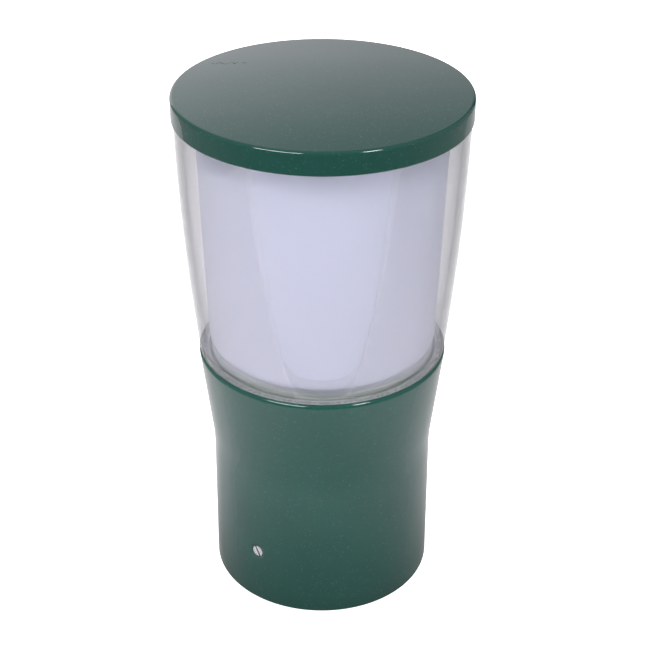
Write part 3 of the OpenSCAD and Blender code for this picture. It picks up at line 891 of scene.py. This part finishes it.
@dataclass
class Lid(SubAssembly):
    """The crowned lid with its bosses and what it carries."""

    body: str = "lid"
    side: float = 14.8 * MM
    edge: float = 2.2 * MM
    foot: float = 0.4 * MM
    side_rings: tuple[float, ...] = (0.6, 0.3, 0.04)  # shares of the side's height
    crown: float = 3.0 * MM
    thick: float = 4.5 * MM
    side_wall: float = 7.3 * MM
    land: tuple[float, float, float] = (75.9 * MM, 81.3 * MM, 2.0 * MM)
    groove: tuple[float, float, float] = (88.25 * MM, 91.25 * MM, 5.0 * MM)
    boss: float = 7.5 * MM
    boss_hole: float = 3.05 * MM
    boss_drop: float = 8.0 * MM
    boss_cover: float = 2.0 * MM
    boss_edge: float = 0.8 * MM
    rod_angles: tuple[float, ...] = (30.0, 150.0, 270.0)
    rod_ring: float = 54.0 * MM

    def build(self) -> None:
        """Turns the lid and sets its bosses under it."""
        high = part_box("lid_cap")[1]
        self.radius, self.low = high.x, high.z - self.crown - self.side
        self.cap = turned("lid_casting", self.outline(), 256, 30.0)
        joined(self.cap, [self.boss_at(angle) for angle in self.rod_angles])

    def rise(self, radius: float, drop: float = 0.0) -> Point:
        """A point of the crown, or of its underside a drop lower."""
        share = radius / (self.radius - self.edge)
        return (radius, self.low + self.side + self.crown * (1 - share * share) - drop)

    def outline(self) -> list[Point]:
        """The lid's outline.

        Returns:
            Its points in (radius, height), from the axis over the crown and back under it.
        """
        low, shoulder = self.low, self.low + self.side
        inner, outer, depth = self.land
        slot_in, slot_out, slot = self.groove
        wall = self.radius - self.side_wall
        points = [self.rise((self.radius - self.edge) * i / 30) for i in range(31)]
        points += arc((self.radius - self.edge, shoulder - self.edge), self.edge, 82, 0, 14)
        points += [(self.radius, low + self.side * t) for t in self.side_rings]
        points += [(self.radius - self.foot, low)]
        points += [(slot_out, low), (slot_out, low + slot), (slot_in, low + slot), (slot_in, low), (wall, low),
                   (wall, shoulder - self.thick), (outer, shoulder - self.thick), (outer, low + depth),
                   (inner, low + depth)]
        return points + [self.rise(inner * i / 20, self.thick) for i in range(20, -1, -1)]

    def boss_at(self, angle: float) -> bpy.types.Object:
        """The boss that holds one tie rod.

        Args:
            angle: where the rod is round the axis, in degrees.

        Returns:
            The boss, in its place.
        """
        low, high = self.low - self.boss_drop, self.low + self.side - self.boss_cover
        edge = self.boss_edge
        profile = [(self.boss_hole + edge, low), (self.boss - edge, low), (self.boss, low + edge),
                   (self.boss, high), (self.boss_hole, high), (self.boss_hole, low + edge)]
        tube = turned("boss", closed(profile), 64)
        return set_at(tube, (self.rod_ring, 0, 0), angle)

    def dress(self) -> None:
        """Paints the lid and dresses its rods and seals."""
        # the lid gets the darker copy of the green paint, which is painted shade
        self.add(self.cap, Finish.LID_PAINT, "lid_cap")
        self.keep("lid_gasket", Finish.SEAL_RUBBER)
        self.keep("opal_pad", Finish.SEAL_RUBBER)
        self.keep("tie_rods", Finish.ZINC_STEEL)
        self.keep("rod_locknuts", Finish.ZINC_STEEL)


@dataclass
class Hardware(SubAssembly):
    """Nodes that keep their CAD shape, such as the grub screws, the gear, the gland and the lamp."""

    nodes: dict[str, Finish] = field(default_factory=dict)

    def dress(self) -> None:
        """Gives each node its finish."""
        for node, finish in self.nodes.items():
            self.keep(node, finish)


# ---------------------------------------------------------------- studio
@dataclass(frozen=True)
class Panel:
    """One soft light panel."""

    name: str
    place: tuple[float, float, float]
    aim: tuple[float, float, float]
    size: tuple[float, float]
    power: float
    colour: Colour = (1.0, 1.0, 1.0)
    mirrored: bool = True

    def hang(self) -> None:
        """Hangs the panel where the camera doesn't see it."""
        data = bpy.data.lights.new(self.name, "AREA")
        data.shape, data.size, data.size_y = "RECTANGLE", *self.size
        data.energy, data.color = self.power, self.colour
        lamp = bpy.data.objects.new(self.name, data)
        lamp.location = self.place
        towards = Vector(self.aim) - Vector(self.place)
        lamp.rotation_euler = towards.to_track_quat("-Z", "Y").to_euler()
        lamp.visible_camera, lamp.visible_glossy = False, self.mirrored
        bpy.context.scene.collection.objects.link(lamp)
        log.info("%s: light panel of %.1f W", self.name, self.power)


@dataclass
class Studio:
    """Camera, floor, backdrop and lights.

    The sheet under the head only lights and mirrors. Its colour holds a painted shadow near the head's foot
    (shadow, shadow_level) and a painted fall-off of light towards its front edge and to both sides
    (fade_front, fade_right, fade_left). In reflections the room goes from dark in front to side beside the
    head, and scattered light comes from all round at ambient.
    """

    distance: float = 0.86529
    height: float = 0.69601
    pitch: float = 30.549
    lens: float = 82.785
    yaw: float = -0.107
    roll: float = 0.13
    floor_size: float = 12.0
    floor_drop: float = 0.7 * MM
    sheet_drop: float = 0.2 * MM
    sheet_left: float = -0.70
    sheet_right: float = 0.66
    sheet_front: float = -0.54
    fade_front: float = -0.14
    front_level: float = 0.14
    fade_right: float = 0.42
    fade_left: float = 0.20
    sheet_tone: Colour = (0.855, 0.825, 0.845)
    shadow_level: float = 0.30
    shadow: tuple[float, float] = (0.02, 0.24)
    shadow_front: float = 0.06
    glow: tuple[tuple[float, Colour], ...] = (
        (0.0, (0.6, 0.57, 0.6)), (0.30, (1.0, 0.92, 0.99)), (0.42, (0.8, 0.74, 0.79)),
        (0.66, (0.25, 0.24, 0.26)), (1.0, (0.08, 0.08, 0.08)))
    cloth_strength: float = 1.72
    cloth_fade: tuple[float, float] = (1.15, -0.65)
    backdrop_y: float = 1.6
    backdrop_width: float = 2.6
    backdrop_top: float = 2.6
    ambient: float = 0.69
    dark: float = 0.12
    side: float = 0.42
    dark_until: float = -0.80

    def camera(self) -> None:
        """Sets up the camera in front of the head, looking down at it."""
        data = bpy.data.cameras.new("camera")
        data.lens, data.sensor_width = self.lens, 36.0
        data.clip_start, data.clip_end = 0.01, 50.0
        eye = bpy.data.objects.new("camera", data)
        eye.location = (0, -self.distance, self.height)
        look = Euler((math.radians(90 - self.pitch), 0, 0)).to_quaternion()
        nudge = Euler((0, math.radians(self.yaw), math.radians(self.roll))).to_quaternion()
        eye.rotation_euler = (look @ nudge).to_euler()
        bpy.context.scene.collection.objects.link(eye)
        bpy.context.scene.camera = eye

    def card(self, name: str, size: tuple[float, float], place: tuple[float, float, float],
             upright: bool = False) -> bpy.types.Object:
        """Adds one flat rectangle of the studio.

        Args:
            name: its name.
            size: its width and its length or height.
            place: the middle of it.
            upright: whether it stands instead of lying.

        Returns:
            The rectangle.
        """
        nothing_selected()
        turn = (math.pi / 2, 0, 0) if upright else (0, 0, 0)
        bpy.ops.mesh.primitive_plane_add(size=1.0, location=place, rotation=turn)
        flat = bpy.context.object
        flat.name = name
        flat.scale = (*size, 1.0)
        return flat

    def floor(self) -> None:
        """Lays a white floor, and just over it the sheet that the head is lit and mirrored by."""
        g = Graph.of_material("floor")
        white = g.surface(Base_Color=(0.9, 0.9, 0.9), Roughness=0.9, Specular_IOR_Level=0.0,
                          Emission_Color=(1.0, 1.0, 1.0), Emission_Strength=1.0)
        g = Graph.of_material("sheet")
        flat = g.node("ShaderNodeMapping", None, {
            "Vector": g.place, "Location": (0.0, self.shadow_front, 0.0), "Scale": (1.0, 1.0, 0.0)})
        reach = g.node("ShaderNodeVectorMath", {"operation": "LENGTH"}, {0: flat.outputs[0]})
        # painted shadow: the sheet's colour is darker near the head's foot
        away = g.ramp(g.value(reach, "Value"), *self.shadow, soft=True)
        across = g.axis("X")
        # painted fall-off of light: the sheet's colour dims towards its front edge and to both sides
        behind = g.ramp(g.axis("Y"), self.sheet_front, self.fade_front, soft=True)
        level = g.blend(behind, self.front_level, 1.0)
        level = level * (1.0 - g.ramp(across, 0.0, self.sheet_right, soft=True) * self.fade_right)
        level = level * (1.0 - g.ramp(across, 0.0, self.sheet_left, soft=True) * self.fade_left)
        level = level * g.blend(away, self.shadow_level, 1.0)
        paper = g.surface(Base_Color=g.mix(level, (0.0, 0.0, 0.0), self.sheet_tone), Roughness=0.9,
                          Specular_IOR_Level=0.0)
        length = self.backdrop_y - self.sheet_front
        middle = (self.sheet_left + self.sheet_right) / 2
        sheet = self.card("sheet", (self.sheet_right - self.sheet_left, length),
                          (middle, self.sheet_front + length / 2, -self.sheet_drop))
        settle(sheet)
        sheet.data.materials.append(paper)
        sheet.visible_camera = False
        ground = self.card("floor", (self.floor_size, self.floor_size), (0, 0, -self.floor_drop))
        ground.visible_glossy = ground.visible_transmission = False
        ground.data.materials.append(white)

    def backdrop(self) -> None:
        """Hangs a bright cloth behind the head, brightest low down, that only lights and reflects."""
        cloth = self.card("backdrop", (self.backdrop_width, self.backdrop_top),
                          (0, self.backdrop_y, self.backdrop_top / 2), upright=True)
        settle(cloth)
        g = Graph.of_material("backdrop")
        up = g.axis("Z") / self.backdrop_top
        glow = g.node("ShaderNodeValToRGB", {"stops": self.glow}, {0: up})
        across = g.ramp(g.axis("X"), *self.cloth_fade)
        lit = g.mix(across, (0.0, 0.0, 0.0), g.value(glow))
        cloth.data.materials.append(g.surface(
            Base_Color=(0.0, 0.0, 0.0), Specular_IOR_Level=0.0, Emission_Color=lit,
            Emission_Strength=self.cloth_strength))
        cloth.visible_camera = False

    def lights(self) -> None:
        """Hangs the panels: two that the paint mirrors, and two soft fills."""
        middle = (0, 0, 0.25)
        for panel in (
                Panel("key_left", (-0.70, -0.93, 1.45), middle, (0.85, 0.26), 16.5),
                Panel("key_right", (0.77, -0.88, 1.45), middle, (0.30, 0.32), 9.5),
                Panel("fill_top", (0, -0.1, 2.4), (0, 0, 0), (2.0, 2.0), 19.0, mirrored=False),
                Panel("fill_front", (0, -2.3, 0.9), middle, (2.4, 1.4), 5.0, mirrored=False)):
            panel.hang()

    def surroundings(self) -> None:
        """Sets a pale room that lights softly all round, mirrors darkly and shows its colours as they are."""
        world = bpy.data.worlds.new("surroundings")
        world.use_nodes = True
        g = Graph(world.node_tree)
        rays = g.node("ShaderNodeLightPath")
        mirrored = g.math("MAXIMUM", g.value(rays, "Is Glossy Ray"), g.value(rays, "Is Transmission Ray"))
        scattered = g.math("MINIMUM", g.value(rays, "Diffuse Depth"), 1.0)
        room = g.blend(g.ramp(g.axis("Y"), self.dark_until, 0.0), self.dark, self.side)
        seen = g.blend(scattered, room, self.ambient)
        strength = g.blend(mirrored, self.ambient, seen)
        strength = g.blend(g.value(rays, "Is Camera Ray"), strength, 1.0)
        background = g.tree.nodes["Background"]
        background.inputs["Color"].default_value = (1.0, 1.0, 1.0, 1.0)
        g.tree.links.new(strength.socket, background.inputs["Strength"])
        bpy.context.scene.world = world
        bpy.context.scene.view_settings.view_transform = "Standard"


GEAR = {
    "tie_washers": Finish.ZINC_STEEL, "tie_nuts": Finish.ZINC_STEEL, "gear_tray": Finish.TRAY_STEEL,
    "tray_screws": Finish.ZINC_STEEL, "lampholder_bracket": Finish.TRAY_STEEL,
    "bracket_screws": Finish.ZINC_STEEL, "lampholder_body": Finish.PORCELAIN,
    "lampholder_screws": Finish.ZINC_STEEL, "screw_shell": Finish.BRASS, "centre_contact": Finish.BRASS,
    "terminal_block": Finish.TERMINAL_PLASTIC, "terminal_sleeves": Finish.BRASS,
    "terminal_screws": Finish.ZINC_STEEL, "block_screws": Finish.ZINC_STEEL, "earth_screw": Finish.BRASS,
    "earth_tag": Finish.BRASS, "live_wire": Finish.WIRE_BROWN, "neutral_wire": Finish.WIRE_BLUE,
    "earth_wire": Finish.WIRE_EARTH, "gland_body": Finish.GLAND_PLASTIC, "gland_seal": Finish.GLAND_RUBBER,
    "gland_locknut": Finish.GLAND_PLASTIC}
# the grub screws get the brighter copy of the zinc steel, which is a painted highlight
GRUBS = {name: Finish.GRUB_STEEL for name in ("grub_screw_front", "grub_screw_right", "grub_screw_back")}
LAMP = {"lamp_cap": Finish.LAMP_METAL, "lamp_contact": Finish.LAMP_METAL,
        "lamp_housing": Finish.LAMP_WHITE, "lamp_globe": Finish.LAMP_OPAL}


def main() -> None:
    """Builds the head and its studio."""
    studio = Studio()
    studio.camera()
    studio.floor()
    studio.backdrop()
    studio.lights()
    studio.surroundings()
    for part in (Base(), Diffusers(), Lid()):
        part.build()
        part.dress()
    for body, nodes in (("base", {**GEAR, **GRUBS}), ("gland_nut", {"gland_nut": Finish.GLAND_PLASTIC}),
                        ("lamp", LAMP)):
        Hardware(body=body, nodes=nodes).dress()


if __name__ == "__main__":
    logging.basicConfig(level=logging.INFO, format="%(message)s")
    main()
